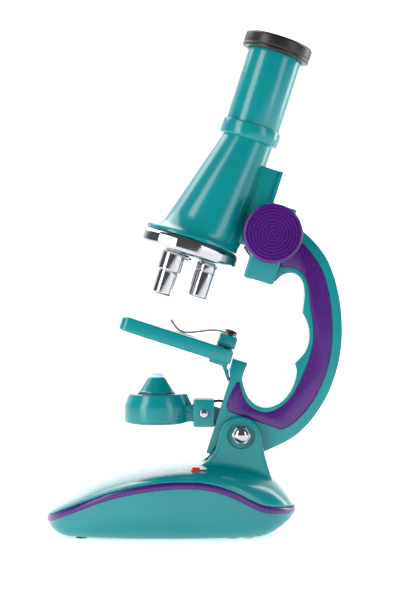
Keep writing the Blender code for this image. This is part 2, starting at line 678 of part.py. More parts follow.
def tube_pieces(slide):
    shell = [(TURRET_X, 20.9, 74.4), (TURRET_X, 20.9, 75.8), (-43.1, 17.8, 79.2),
             (OPTICAL_X, 11.4, 123.2), (OPTICAL_X, 13.0, 123.5), (OPTICAL_X, 13.3, 124.2),
             (OPTICAL_X, 13.3, 129.6), (OPTICAL_X, 13.0, 130.2), (OPTICAL_X, 12.4, 130.2),
             (OPTICAL_X, 12.4, 125.4), (OPTICAL_X, 9.8, 125.4), (OPTICAL_X, 9.6, 122.0),
             (-42.9, 15.8, 80.0), (-42.9, 15.0, 76.6)]
    tube = piece("body_tube", loft(offset_rings(shell)), TEAL, slide)
    join(tube, block((-28.5, -6.9, 79.0), (-18.6, 6.9, 114.4)),
         block((-18.8, -8.5, 79.0), (-17.2, 8.5, 114.4)))
    cavity = [(-42.9, 14.8, 76.7), (-42.9, 15.7, 80.0), (OPTICAL_X, 9.5, 122.0), (OPTICAL_X, 9.5, 126.0)]
    cut(tube, loft(offset_rings(cavity, 28)), block((-20.1, -3.7, 78.0), (-16.0, 3.7, 116.0)),
        turned(OPTICAL_X, [(3.4, 73.0), (3.4, 78.0)], 20), turned(TURRET_X, [(1.8, 73.0), (1.8, 78.0)], 14))
    draw = [(12.1, 125.7), (12.1, 164.8), (10.6, 164.8), (10.6, 125.7)]
    piece("eyepiece_tube", hollow_turned(OPTICAL_X, draw, 36), TEAL, slide)
    cap = [(14.9, 162.8), (15.2, 163.4), (15.2, 168.8), (14.4, 169.8), (12.8, 169.8), (9.6, 168.2),
           (5.6, 167.2), (5.6, 166.8), (8.4, 166.8), (8.4, 165.1), (12.4, 165.1), (12.4, 162.8)]
    piece("eyepiece_cap", hollow_turned(OPTICAL_X, cap, 36), BLACK, slide, 0.5)
    piece("eyepiece_lens", lens(OPTICAL_X, 165.4, 7.9, 1.1), GLASS, slide, 0.05)
    piece("field_lens", lens(OPTICAL_X, 127.5, 10.2, 1.6), GLASS, slide, 0.05)
    piece("turret_screw", screw(TURRET_X, 64.9, 12.0, 3.0, 1.6, 1.4), CHROME, slide, 0.2, 1.0)


def lens(x, z, radius, thickness, y=0.0, count=20):
    """A double convex lens with its lower face's edge at z."""
    profile = [(radius * 0.3, z - 0.05), (radius, z + thickness * 0.3), (radius, z + thickness * 0.7),
               (radius * 0.3, z + thickness + 0.05)]
    return turned(x, profile, count, y)


# ---- turret and objectives, drawn about the turret's axis ----

OBJECTIVE_REACH = OPTICAL_X - TURRET_X
OBJECTIVES = (("low", 120.0, [(4.6, 56.0), (4.9, 56.8), (4.9, 65.6), (4.5, 66.6)]),
              ("medium", 0.0, [(4.4, 51.0), (4.7, 51.6), (4.9, 65.6), (4.5, 66.6)]),
              ("high", 240.0, [(3.6, 47.5), (4.3, 48.0), (4.45, 57.9), (5.1, 58.2), (5.3, 58.8),
                               (5.3, 65.6), (4.9, 66.6)]))


def turret_pieces(turret):
    disc = [(20.6, 66.9), (21.9, 67.7), (22.3, 69.2), (22.3, 72.2), (21.6, 73.4), (20.4, 74.1)]
    disc = piece("turret_disc", turned(0, disc, 40), CHROME, turret, 0.2, 1.0)
    cut(disc, turned(0, [(1.8, 60.0), (1.8, 80.0)], 14))
    for name, degrees, profile in OBJECTIVES:
        angle = math.radians(degrees)
        x, y = OBJECTIVE_REACH * math.cos(angle), OBJECTIVE_REACH * math.sin(angle)
        cut(disc, turned(x, [(3.9, 60.0), (3.9, 70.6)], 16, y),
            turned(x, [(2.6, 69.0), (2.6, 80.0)], 12, y))
        low = profile[0][1]
        outer = profile + [(3.5, 66.6), (3.5, 70.3)]
        bore = [(2.4, 70.3), (2.4, low + 1.2), (1.9, low + 0.6), (2.2, low)]
        piece(f"objective_{name}", hollow_turned(x, outer + bore, 18, y), CHROME, turret, 0.2, 1.0)
        piece(f"objective_lens_{name}", lens(x, low + 1.6, 2.0, 0.8, y, 12), GLASS, turret, 0.05)


# ---- stage and clips ----

CLIP_LINE = [(3.0, 40.2), (-3.0, 40.2), (-5.2, 40.0), (-8.8, 39.1), (-13.2, 37.1), (-17.4, 35.3),
             (-20.4, 34.7), (-23.4, 35.6), (-26.8, 38.2)]


def stage_pieces(arm):
    def layer(inset, z):
        return [(x, y, z) for x, y in rounded(-64.2 + inset, -STAGE_HALF + inset, -14.1 - inset,
                                              STAGE_HALF - inset, 3.5, 4)]

    stage = loft([layer(0.7, STAGE_LOW), layer(0.0, STAGE_LOW + 0.7), layer(0.0, STAGE_TOP - 0.7),
                  layer(0.7, STAGE_TOP)])
    stage = piece("stage_plate", stage, TEAL, arm)
    cut(stage, block((-62.2, -23.0, 20.0), (-25.0, 23.0, STAGE_TOP - 1.9)),
        turned(OPTICAL_X, [(5.5, 30.0), (5.5, 36.0)], 24))
    gusset = [(-23.0, 28.6), (-23.0, 25.8), (-17.0, 25.8), (-12.3, 19.8), (-12.3, 22.0), (-13.6, 25.1),
              (-14.6, 25.3), (-14.6, 28.6)]
    join(stage, prism(gusset, -6.0, 6.0), block((-12.9, -3.0, 20.6), (-9.8, 3.0, 21.9)))
    top = STAGE_TOP + GAP
    seat = piece("clip_block", block((-22.0, -16.0, top), (-14.1, 16.0, 39.6)), TEAL, arm)
    bevel = seat.modifiers.new("edges", "BEVEL")
    bevel.width = 0.7 * MM
    bevel.segments = 2
    for name, y in (("near", -CLIP_Y), ("far", CLIP_Y)):
        cut(seat, turned(CLIP_X, [(1.5, 30.0), (1.5, 45.0)], 12, y))
        cut(stage, turned(CLIP_X, [(1.5, 30.0), (1.5, 45.0)], 12, y))
        piece(f"clip_screw_{name}", screw(CLIP_X, 41.9, 11.4, 2.7, 1.1, y=y, up=-1), BLACK, arm, 0.3, 0.8)


def stage_clip(name, parent):
    """A bent spring strip, drawn about its screw's axis."""
    line = CLIP_LINE[:2] + through(CLIP_LINE[1:], 2)[1:]
    rings = []
    half = 0.22
    for i, (x, z) in enumerate(line):
        (xa, za), (xb, zb) = line[max(i - 1, 0)], line[min(i + 1, len(line) - 1)]
        length = math.hypot(xb - xa, zb - za)
        nx, nz = -(zb - za) / length * half, (xb - xa) / length * half
        width = 2.8 - 1.2 * i / (len(line) - 1)
        rings.append([(x + nx, -width, z + nz), (x - nx, -width, z - nz), (x - nx, width, z - nz),
                      (x + nx, width, z + nz)])
    clip = piece(name, loft(rings), STEEL, parent, 0.2, 1.0)
    cut(clip, turned(0, [(1.5, 38.0), (1.5, 43.0)], 12))


# ---- lamp, drawn about its pivot ----


def lamp_pieces(arm, lamp):
    route = [(5.0, 0.0, 9.8), (0.0, 0.0, 9.8), (-5.0, 0.0, 10.3), (-8.0, 0.0, 10.9), (-10.5, 0.0, 11.0),
             (-13.2, 0.0, 10.7), (-16.4, 0.0, 9.2)]
    wire("lamp_lead", route, 0.6, BLACK, arm, 2)
    drum = [(13.0, -4.3), (14.1, -3.6), (14.1, 3.2), (12.2, 8.4), (8.6, 8.4), (8.6, 6.9), (11.2, 6.9),
            (12.4, 2.8), (12.4, -4.3)]
    housing = piece("lamp_housing", hollow_turned(LAMP_X, drum, 32), TEAL, lamp)
    tab = [(-13.0, 3.4), (-13.0, 7.9), (-9.6, 7.9), (-7.2, 4.2), (-7.2, 2.0)]
    join(housing, block((-8.3, -5.0, -3.7), (-4.0, 5.0, 3.8)), prism(tab, -3.4, 3.4),
         prism(rounded(-4.7, -5.9, 4.5, 6.1, 0.9, 2), -7.0, 7.0))
    cut(housing, block((-4.95, -3.3, -8.0), (6.0, 3.3, 8.0)),
        cross_turned(0, 0, [(1.6, -8.0), (1.6, 8.0)], 14))
    piece("lamp_cover", turned(LAMP_X, [(11.2, -4.9), (12.1, -4.3), (12.1, -3.1)], 28), TEAL, lamp)
    hood = [(8.1, 8.8), (8.1, 9.5), (7.5, 9.8), (3.7, 15.6), (2.7, 15.6), (6.3, 9.8), (6.3, 8.8)]
    piece("lamp_hood", hollow_turned(LAMP_X, hood, 24), TEAL, lamp)
    dome = [(2.3, 14.9), (2.3, 15.9), (3.5, 15.9), (3.2, 16.7), (2.2, 17.3), (0.7, 17.6)]
    piece("lamp_lens", turned(LAMP_X, dome, 20), GLASS, lamp, 0.1)
    bulb = [(1.9, 8.8), (1.9, 9.6), (1.5, 9.6), (1.5, 12.4), (1.1, 13.6), (0.4, 14.1)]
    piece("led", turned(LAMP_X, bulb, 16), WHITE, lamp, 0.2)
    pin = [(1.6, -8.1), (2.0, -7.7), (2.0, -7.3), (1.25, -7.3), (1.25, 7.4), (1.0, 7.7)]
    piece("lamp_pin", cross_turned(0, 0, pin, 14), CHROME, lamp, 0.15, 1.0)


# ---- the whole microscope ----

root = pivot("base_axis", HINGE_X, HINGE_Z)
base_pieces(root)
electric_pieces(root)
hinge_pieces(root)
switch_pieces(pivot("switch_axis", SWITCH_X, SWITCH_Z, y=SWITCH_Y, parent=root))

arm = pivot("arm_axis", 0.0, 0.0, ARM_TILT, parent=root)
arm_pieces(arm)
stage_pieces(arm)
for clip_name, clip_y in (("near", -CLIP_Y), ("far", CLIP_Y)):
    clip_axis = pivot(f"clip_axis_{clip_name}", CLIP_X, 0.0, y=clip_y, parent=arm)
    stage_clip(f"stage_clip_{clip_name}", clip_axis)
lamp_pieces(arm, pivot("lamp_axis", LAMP_PIVOT_X, LAMP_PIVOT_Z, -ARM_TILT, parent=arm))

focus_shaft_pieces(pivot("focus_axis", FOCUS_X, FOCUS_Z, parent=arm))
slide = pivot("slide_axis", 0.0, 0.0, parent=arm)
rack(slide)
tube_pieces(slide)
turret_pieces(pivot("turret_axis", TURRET_X, 0.0, parent=slide))
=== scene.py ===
"""Looks of the toy microscope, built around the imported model.

Shapes are drawn in millimetres in the frame of the group that they belong to, and a matrix puts
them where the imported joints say. Each visible piece is either drawn here at fine resolution or is
a softened copy of its plain solid.
"""

import json
import math

import bmesh
import bpy
from mathutils import Matrix, Vector

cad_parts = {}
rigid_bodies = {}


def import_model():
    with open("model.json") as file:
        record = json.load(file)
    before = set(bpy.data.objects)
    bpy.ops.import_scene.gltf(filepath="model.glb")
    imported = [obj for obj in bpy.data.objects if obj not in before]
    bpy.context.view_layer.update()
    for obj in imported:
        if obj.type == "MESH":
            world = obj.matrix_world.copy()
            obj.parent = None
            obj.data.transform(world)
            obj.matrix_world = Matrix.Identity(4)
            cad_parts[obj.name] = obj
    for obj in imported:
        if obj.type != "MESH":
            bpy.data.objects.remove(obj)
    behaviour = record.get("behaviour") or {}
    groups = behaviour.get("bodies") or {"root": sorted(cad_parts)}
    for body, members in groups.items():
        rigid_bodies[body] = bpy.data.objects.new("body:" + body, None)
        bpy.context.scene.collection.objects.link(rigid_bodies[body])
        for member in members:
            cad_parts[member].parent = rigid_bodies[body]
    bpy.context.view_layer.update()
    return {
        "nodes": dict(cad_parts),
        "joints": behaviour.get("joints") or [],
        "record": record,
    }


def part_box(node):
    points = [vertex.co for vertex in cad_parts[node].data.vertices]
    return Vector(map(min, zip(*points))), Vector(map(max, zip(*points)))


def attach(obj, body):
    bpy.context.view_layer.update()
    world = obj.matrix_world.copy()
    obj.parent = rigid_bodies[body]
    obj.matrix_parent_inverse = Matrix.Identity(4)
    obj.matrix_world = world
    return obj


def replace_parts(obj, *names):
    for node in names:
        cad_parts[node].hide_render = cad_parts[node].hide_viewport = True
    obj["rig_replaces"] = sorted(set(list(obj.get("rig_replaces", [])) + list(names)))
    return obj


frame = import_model()

MM = 0.001
GAP = 0.3
SMOOTH_ANGLE = math.radians(38.0)

record = frame["record"]
slot_of = {part["node"]: part["material_slot"] for part in record["subparts"]}
body_of = {node: body for body, nodes in record["behaviour"]["bodies"].items() for node in nodes}
joints = {joint["name"]: joint for joint in frame["joints"]}

# The frames of the groups: the base, the leaning arm, the level lamp, the focus shaft, the turret
UP = Vector(joints["focus_slide"]["axis"])
LEAN = Matrix.Rotation(math.atan2(UP.x, UP.z), 4, "Y")


def joint_place(name):
    return Matrix.Translation(joints[name]["pos_m"])


BASE = joint_place("arm_tilt")
ARM = BASE @ LEAN
LAMP = joint_place("lamp_tilt")
FOCUS = joint_place("focus_turn") @ LEAN
TURRET_X = (ARM.inverted() @ Vector(joints["turret_turn"]["pos_m"])).x / MM
TURRET = ARM @ Matrix.Translation((TURRET_X * MM, 0.0, 0.0))

# Sizes that the base, arm and tube share with the plain solids, in millimetres
BASE_NOSE = -84.4
BASE_HEEL = 23.8
BASE_HALF_WIDTH = 34.0
BASE_UNDER = -43.2
SHELL_WALL = 2.0
BAND_HALF = 1.3
BAND_PROUD = 0.5
EAR_INNER = 8.4
EAR_OUTER = 12.8
ARM_HALF = 8.0
HEAD_HALF = 11.0
OPTICAL_X = -36.3
FOCUS_X = -13.6
FOCUS_Z = 87.1
LAMP_X = -20.9
HINGE_BORE = 2.4


# ---- materials ----


def surface(name, color, roughness, metallic=0.0, coat=0.0, grain=0.03, grain_size=1.2, cloud=0.06):
    """A finish with faint clouds in its colour, uneven gloss and a fine moulded or ground grain."""
    mat = bpy.data.materials.new(name)
    mat.use_nodes = True
    nodes, links = mat.node_tree.nodes, mat.node_tree.links
    shader = nodes["Principled BSDF"]
    shader.inputs["Metallic"].default_value = metallic
    shader.inputs["Coat Weight"].default_value = coat
    shader.inputs["Coat Roughness"].default_value = 0.06
    coords = nodes.new("ShaderNodeTexCoord")
    clouds = nodes.new("ShaderNodeTexNoise")
    clouds.inputs["Scale"].default_value = 45.0
    clouds.inputs["Detail"].default_value = 3.0
    links.new(coords.outputs["Object"], clouds.inputs["Vector"])
    ramp = nodes.new("ShaderNodeValToRGB")
    low, high = ramp.color_ramp.elements
    low.position, high.position = 0.3, 0.7
    low.color = (*[channel * (1.0 - cloud) for channel in color], 1.0)
    high.color = (*[min(channel * (1.0 + cloud), 1.0) for channel in color], 1.0)
    links.new(clouds.outputs["Fac"], ramp.inputs["Fac"])
    links.new(ramp.outputs["Color"], shader.inputs["Base Color"])
    fine = nodes.new("ShaderNodeTexNoise")
    fine.inputs["Scale"].default_value = 1.0 / (grain_size * MM)
    fine.inputs["Detail"].default_value = 5.0
    links.new(coords.outputs["Object"], fine.inputs["Vector"])
    gloss = nodes.new("ShaderNodeMapRange")
    gloss.inputs["To Min"].default_value = roughness * 0.75
    gloss.inputs["To Max"].default_value = roughness * 1.3
    links.new(fine.outputs["Fac"], gloss.inputs["Value"])
    links.new(gloss.outputs["Result"], shader.inputs["Roughness"])
    bump = nodes.new("ShaderNodeBump")
    bump.inputs["Strength"].default_value = grain
    bump.inputs["Distance"].default_value = 0.2 * MM
    links.new(fine.outputs["Fac"], bump.inputs["Height"])
    links.new(bump.outputs["Normal"], shader.inputs["Normal"])
    return mat


def glowing(name, color, strength):
    """A finish that gives off light of its own colour."""
    mat = surface(name, color, 0.15, coat=0.4)
    shader = mat.node_tree.nodes["Principled BSDF"]
    shader.inputs["Emission Color"].default_value = (*color, 1.0)
    shader.inputs["Emission Strength"].default_value = strength
    return mat


def clear(name, color):
    """Polished glass."""
    mat = surface(name, color, 0.04, grain=0.0)
    shader = mat.node_tree.nodes["Principled BSDF"]
    shader.inputs["Transmission Weight"].default_value = 0.92
    shader.inputs["IOR"].default_value = 1.5
    return mat


FINISH = {
    "teal_plastic": surface("teal_plastic", (0.0, 0.255, 0.272), 0.21, coat=0.15, cloud=0.04),
    "purple_plastic": surface("purple_plastic", (0.066, 0.006, 0.17), 0.25, coat=0.1),
    "black_plastic": surface("black_plastic", (0.012, 0.011, 0.012), 0.34, grain=0.12, grain_size=0.5),
    "red_plastic": surface("red_plastic", (0.75, 0.012, 0.012), 0.22, coat=0.3),
    "white_plastic": surface("white_plastic", (0.8, 0.8, 0.78), 0.4, grain=0.06),
    "chromed_plastic": surface("chromed_plastic", (0.52, 0.52, 0.55), 0.12, 1.0, grain=0.02, cloud=0.03),
    "screw_steel": surface("screw_steel", (0.52, 0.52, 0.54), 0.28, 1.0, grain=0.1, grain_size=0.4),
    "dark_steel": surface("dark_steel", (0.03, 0.03, 0.034), 0.3, 0.8, grain=0.08, grain_size=0.4),
    "spring_steel": surface("spring_steel", (0.2, 0.15, 0.14), 0.22, 1.0, grain=0.06, grain_size=0.5),
    "lens_glass": clear("lens_glass", (0.86, 0.93, 0.96)),
    "lamp_lens": glowing("lamp_lens", (0.4, 0.58, 1.0), 0.7),
    "cell_jacket": surface("cell_jacket", (0.22, 0.22, 0.24), 0.3, 0.7),
    "foot_rubber": surface("foot_rubber", (0.025, 0.025, 0.026), 0.75, grain=0.3, grain_size=0.6),
    "lead_sleeve": surface("lead_sleeve", (0.015, 0.015, 0.016), 0.45, grain=0.1, grain_size=0.5),
}


# ---- pieces ----


def link(name, mesh):
    obj = bpy.data.objects.new(name, mesh)
    bpy.context.scene.collection.objects.link(obj)
    return obj


def solid(name, shape, place):
    """Turns a bmesh drawn in millimetres into an object in the shared frame."""
    bmesh.ops.remove_doubles(shape, verts=shape.verts, dist=1e-4)
    bmesh.ops.recalc_face_normals(shape, faces=shape.faces)
    mesh = bpy.data.meshes.new(name)
    shape.to_mesh(mesh)
    shape.free()
    mesh.transform(place @ Matrix.Scale(MM, 4))
    return link(name, mesh)


def bake(obj):
    """Applies the modifiers to the mesh."""
    bpy.context.view_layer.update()
    graph = bpy.context.evaluated_depsgraph_get()
    mesh = bpy.data.meshes.new_from_object(obj.evaluated_get(graph), depsgraph=graph)
    obj.modifiers.clear()
    obj.data = mesh


def soften(obj, width, segments=3, angle=32.0):
    """Rounds the edges that turn by more than angle degrees. width is in millimetres."""
    bevel = obj.modifiers.new("edges", "BEVEL")
    bevel.width = width * MM
    bevel.segments = segments
    bevel.limit_method = "ANGLE"
    bevel.angle_limit = math.radians(angle)
    bake(obj)
    return obj


def combine(obj, operation, *others):
    for other in others:
        boolean = obj.modifiers.new("boolean", "BOOLEAN")
        boolean.operation = operation
        boolean.solver = "EXACT"
        boolean.object = other
    bake(obj)
    for other in others:
        bpy.data.objects.remove(other)
    return obj


def melt(obj, voxel, rounds):
    """Rebuilds the skin from voxels and relaxes it, which runs soft fillets along inner corners."""
    remesh = obj.modifiers.new("skin", "REMESH")
    remesh.mode = "VOXEL"
    remesh.voxel_size = voxel * MM
    relax = obj.modifiers.new("relax", "SMOOTH")
    relax.factor = 0.5
    relax.iterations = rounds
    bake(obj)
    return obj


def finish_piece(obj, *nodes):
    """Gives a piece its finish, makes it ride with its body and stand for its plain solids."""
    first = nodes[0]
    obj.data.shade_smooth()
    obj.data.set_sharp_from_angle(angle=SMOOTH_ANGLE)
    obj.data.materials.clear()
    obj.data.materials.append(FINISH[slot_of[first]])
    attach(obj, body_of[first])
    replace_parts(obj, *nodes)
    return obj


def dressed(node, width=0.25, segments=2, angle=32.0):
    """A copy of a plain solid with clean faces and rounded edges."""
    shape = bmesh.new()
    shape.from_mesh(frame["nodes"][node].data)
    bmesh.ops.remove_doubles(shape, verts=shape.verts, dist=2e-6)
    bmesh.ops.dissolve_limit(shape, angle_limit=math.radians(1.0), verts=shape.verts, edges=shape.edges)
    mesh = bpy.data.meshes.new(f"fine_{node}")
    shape.to_mesh(mesh)
    shape.free()
    obj = link(f"fine_{node}", mesh)
    if width:
        soften(obj, width, segments, angle)
    return finish_piece(obj, node)


# ---- shapes ----


def loft(rings, ends=True):
    shape = bmesh.new()
    loops = [[shape.verts.new(point) for point in ring] for ring in rings]
    count = len(loops[0])
    for low, high in zip(loops, loops[1:]):
        for i in range(count):
            j = (i + 1) % count
            shape.faces.new((low[i], low[j], high[j], high[i]))
    if ends:
        shape.faces.new(loops[0][::-1])
        shape.faces.new(loops[-1])
    return shape


def closed_loft(rings):
    return loft(rings + [rings[0]], ends=False)


def circle(x, z, radius, count=96, y=0.0):
    turn = 2 * math.pi / count
    return [(x + radius * math.cos(i * turn), y + radius * math.sin(i * turn), z) for i in range(count)]


def cross_circle(x, z, radius, y, count=96):
    turn = 2 * math.pi / count
    return [(x + radius * math.cos(i * turn), y, z + radius * math.sin(i * turn)) for i in range(count)]


def turned(x, profile, count=96, y=0.0):
    return loft([circle(x, z, radius, count, y) for radius, z in profile])


def hollow_turned(x, profile, count=96, y=0.0):
    return closed_loft([circle(x, z, radius, count, y) for radius, z in profile])


def cross_turned(x, z, profile, count=64):
    return loft([cross_circle(x, z, radius, y, count) for radius, y in profile])


def block(low, high):
    (x0, y0, z0), (x1, y1, z1) = low, high
    return loft([[(x0, y0, z), (x1, y0, z), (x1, y1, z), (x0, y1, z)] for z in (z0, z1)])


def span(side, near, far):
    """Distances from the middle plane as a pair of y values, low one first."""
    return sorted((side * near, side * far))


def prism(outline, y0, y1):
    return loft([[(x, y, z) for x, z in outline] for y in (y0, y1)])


def arc(x, z, radius, start, end, steps=12):
    angles = [math.radians(start + (end - start) * i / steps) for i in range(steps + 1)]
    return [(x + radius * math.cos(a), z + radius * math.sin(a)) for a in angles]


def rounded(x0, z0, x1, z1, radius, steps=6):
    outline = []
    for x, z, angle in ((x1, z1, 0), (x0, z1, 90), (x0, z0, 180), (x1, z0, 270)):
        cx = x - radius if x == x1 else x + radius
        cz = z - radius if z == z1 else z + radius
        outline += arc(cx, cz, radius, angle, angle + 90, steps)
    return outline


def through(points, steps=6):
    """A smooth curve through the points."""
    ends = [points[0]] + list(points) + [points[-1]]
    curve = [points[0]]
    for a, b, c, d in zip(ends, ends[1:], ends[2:], ends[3:]):
        for i in range(1, steps + 1):
            t = i / steps
            curve.append(tuple(
                0.5 * (2 * q + (r - p) * t + (2 * p - 5 * q + 4 * r - s) * t * t
                       + (3 * q - p - 3 * r + s) * t ** 3)
                for p, q, r, s in zip(a, b, c, d)))
    return curve


def height_along(points, x):
    """Reads a smooth line of (x, height) points at x."""
    x = min(max(x, points[0][0]), points[-1][0])
    slopes = []
    for i in range(len(points)):
        before, after = points[max(i - 1, 0)], points[min(i + 1, len(points) - 1)]
        slopes.append((after[1] - before[1]) / (after[0] - before[0]))
    for i in range(len(points) - 1):
        (x0, h0), (x1, h1) = points[i], points[i + 1]
        if x <= x1:
            span = x1 - x0
            t = (x - x0) / span
            return ((1 + 2 * t) * (1 - t) ** 2 * h0 + t * (1 - t) ** 2 * span * slopes[i]
                    + t * t * (3 - 2 * t) * h1 + t * t * (t - 1) * span * slopes[i + 1])


def rounded_profile(profile, radius=0.35, steps=3, closed=False):
    """Rounds the corners of a (radius, height) profile by cutting each with a short curve."""
    count = len(profile)
    smooth = []
    for i, (r, z) in enumerate(profile):
        if not closed and i in (0, count - 1):
            smooth.append((r, z))
            continue
        before, after = Vector(profile[i - 1]), Vector(profile[(i + 1) % count])
        corner = Vector((r, z))
        near = corner + (before - corner) * min(0.45, radius / max((before - corner).length, 1e-6))
        far = corner + (after - corner) * min(0.45, radius / max((after - corner).length, 1e-6))
        for k in range(steps + 1):
            t = k / steps
            point = near.lerp(corner, t).lerp(corner.lerp(far, t), t)
            smooth.append((point.x, point.y))
    return smooth


# ---- base ----

SEAM = [(-84.4, -36.6), (-73.0, -31.4), (-57.0, -25.0), (-42.0, -21.5), (-27.6, -20.0), (-16.2, -20.4),
        (-6.4, -23.0), (1.0, -26.6), (7.5, -30.0), (12.0, -31.3), (23.8, -32.6)]
CREST = [(-84.4, -36.2), (-80.7, -32.6), (-69.3, -24.8), (-57.9, -19.4), (-42.9, -15.6), (-20.0, -12.9),
         (-8.0, -12.9), (4.0, -14.6), (13.3, -18.6), (19.4, -24.6), (22.8, -30.2), (23.8, -32.2)]
UNDER = [(-84.4, -37.2), (-83.2, -39.6), (-79.0, -42.2), (-73.0, BASE_UNDER), (6.0, BASE_UNDER),
         (12.5, -42.0), (20.9, -37.0), (23.8, -33.2)]
WIDEST = 0.46
PLAN_POWER = 2.5
END_RISE = 0.12
STATIONS = 72
ARCS = 48
BAND_STEPS = 8
BAND_TUCK = 3.0
HINGE_RECESS = 6.1
RECESS_DEPTH = 1.6
SWITCH_X = -19.5
SWITCH_Y = -23.6
SWITCH_Z = -14.3


def base_station(i, inset=0.0):
    """Distances along the base, closer together towards its ends."""
    share = (1 - math.cos(math.pi * i / STATIONS)) / 2
    return BASE_NOSE + inset + (BASE_HEEL - BASE_NOSE - 2 * inset) * share


def half_width(x):
    share = (x - BASE_NOSE) / (BASE_HEEL - BASE_NOSE)
    reach = WIDEST if share < WIDEST else 1 - WIDEST
    off = min(abs(share - WIDEST) / reach, 1.0)
    return BASE_HALF_WIDTH * (1 - off ** PLAN_POWER) ** (1 / PLAN_POWER)


def section(x, width, rim, far, power, flat):
    """A half ring across the base, from +Y over the far height to -Y."""
    points = []
    for k in range(ARCS + 1):
        angle = math.pi * k / ARCS
        side = math.copysign(abs(math.cos(angle)) ** (2 / power), math.cos(angle))
        rise = min(flat * abs(math.sin(angle)) ** (2 / power), 1.0)
        points.append((x, width * side, rim + (far - rim) * rise))
    return points


def shell_height(line, sign, x):
    rim = height_along(SEAM, x) + sign * (BAND_HALF + GAP)
    return max(sign * (height_along(line, x) - rim), END_RISE * half_width(x))


def base_shell(line, sign, power, flat):
    """One shell of the base. sign is +1 for the upper one and -1 for the lower one."""
    rings = []
    rim_off = sign * (BAND_HALF + 0.1)
    for i in range(STATIONS + 1):
        x, inner_x = base_station(i), base_station(i, SHELL_WALL)
        at_end = i in (0, STATIONS)
        rise = 0.0 if at_end else shell_height(line, sign, x)
        depth = 0.0 if at_end else max(shell_height(line, sign, inner_x) - SHELL_WALL, 0.3)
        rim, inner_rim = height_along(SEAM, x) + rim_off, height_along(SEAM, inner_x) + rim_off
        width = half_width(x)
        narrow = width * (1 - SHELL_WALL / BASE_HALF_WIDTH)
        outer = section(x, width, rim, rim + sign * rise, power, flat)
        inner = section(inner_x, narrow, inner_rim, inner_rim + sign * depth, power, flat)
        rings.append(outer + inner[::-1])
    return loft(rings, ends=False)


def perimeter(grow, lift):
    """The base's edge in plan, grown by grow and lifted off the seam by lift."""
    loop = []
    for side, order in ((1, range(STATIONS + 1)), (-1, range(STATIONS - 1, 0, -1))):
        for i in order:
            x = base_station(i, -grow)
            width = half_width(base_station(i)) * (1 + grow / BASE_HALF_WIDTH)
            loop.append((x, side * width, height_along(SEAM, x) + lift))
    return loop


def tower_ear(y0, y1):
    """One ear of the fork that holds the arm, flared where it meets the shell."""
    left = through([(-9.8, -2.2), (-11.6, -7.0), (-14.6, -11.2), (-19.5, -14.0)], 6)
    right = through([(13.6, -19.5), (11.0, -11.0), (9.0, -2.6)], 6)
    foot = [(-19.5, -15.5), (-10.0, -17.0), (12.0, -22.0)]
    crown = arc(-0.4, -1.6, 9.4, 0, 172, 28)[1:]
    return prism(left + foot + right + crown, y0, y1)


def upper_shell():
    shell = solid("fine_base_upper_shell", base_shell(CREST, 1, power=2.3, flat=1.0), BASE)
    for side in (-1, 1):
        ear = soften(solid("ear", tower_ear(*span(side, EAR_INNER, EAR_OUTER)), BASE), 0.9, 4)
        combine(shell, "UNION", ear)
    melt(shell, voxel=0.5, rounds=5)
    outside, floor = EAR_OUTER + 1, EAR_OUTER - RECESS_DEPTH
    slot = rounded(SWITCH_X - 2.1, SWITCH_Y - 1.6, SWITCH_X + 5.6, SWITCH_Y + 1.6, 0.7)
    cutters = [cross_turned(0, 0, [(HINGE_RECESS, -outside), (HINGE_RECESS, -floor)]),
               cross_turned(0, 0, [(HINGE_RECESS, floor), (HINGE_RECESS, outside)]),
               cross_turned(0, 0, [(HINGE_BORE, -outside), (HINGE_BORE, outside)]),
               loft([[(x, y, z) for x, y in slot] for z in (SWITCH_Z - 6, SWITCH_Z + 8)])]
    combine(shell, "DIFFERENCE", *[solid(f"cut_{i}", shape, BASE) for i, shape in enumerate(cutters)])
    finish_piece(shell, "base_upper_shell")


def lower_shell():
    shell = solid("fine_base_lower_shell", base_shell(UNDER, -1, power=3.4, flat=1.15), BASE)
    cutters = []
    openings = (("battery_cover", 1.0, 6.0), ("foot_front", 2.2, GAP), ("foot_rear", 2.2, GAP))
    for node, corner, clearance in openings:
        low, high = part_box(node)
        low, high = (BASE.inverted() @ low) / MM, (BASE.inverted() @ high) / MM
        top = high.z + clearance
        outline = rounded(low.x - GAP, low.y - GAP, high.x + GAP, high.y + GAP, corner)
        shape = loft([[(x, y, z) for x, y in outline] for z in (BASE_UNDER - 2, top)])
        cutters.append(solid(f"cut_{node}", shape, BASE))
    for number in (1, 2, 3):
        low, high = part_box(f"base_screw_{number}")
        middle = (BASE.inverted() @ ((low + high) / 2)) / MM
        shape = turned(middle.x, [(3.2, BASE_UNDER - 1), (3.2, BASE_UNDER + 0.9)], 48, middle.y)
        cutters.append(solid(f"cut_screw_{number}", shape, BASE))
    combine(shell, "DIFFERENCE", *cutters)
    finish_piece(shell, "base_lower_shell")


def trim_band():
    """The band in the seam: a strip with a crowned outer face."""
    outer = []
    for k in range(BAND_STEPS + 1):
        share = -1 + 2 * k / BAND_STEPS
        proud = BAND_PROUD * (1 - 0.75 * abs(share) ** 3)
        outer.append(perimeter(proud, BAND_HALF * share))
    inner = [perimeter(-BAND_TUCK, BAND_HALF), perimeter(-BAND_TUCK, -BAND_HALF)]
    finish_piece(solid("fine_base_trim_band", closed_loft(outer + inner), BASE), "base_trim_band")


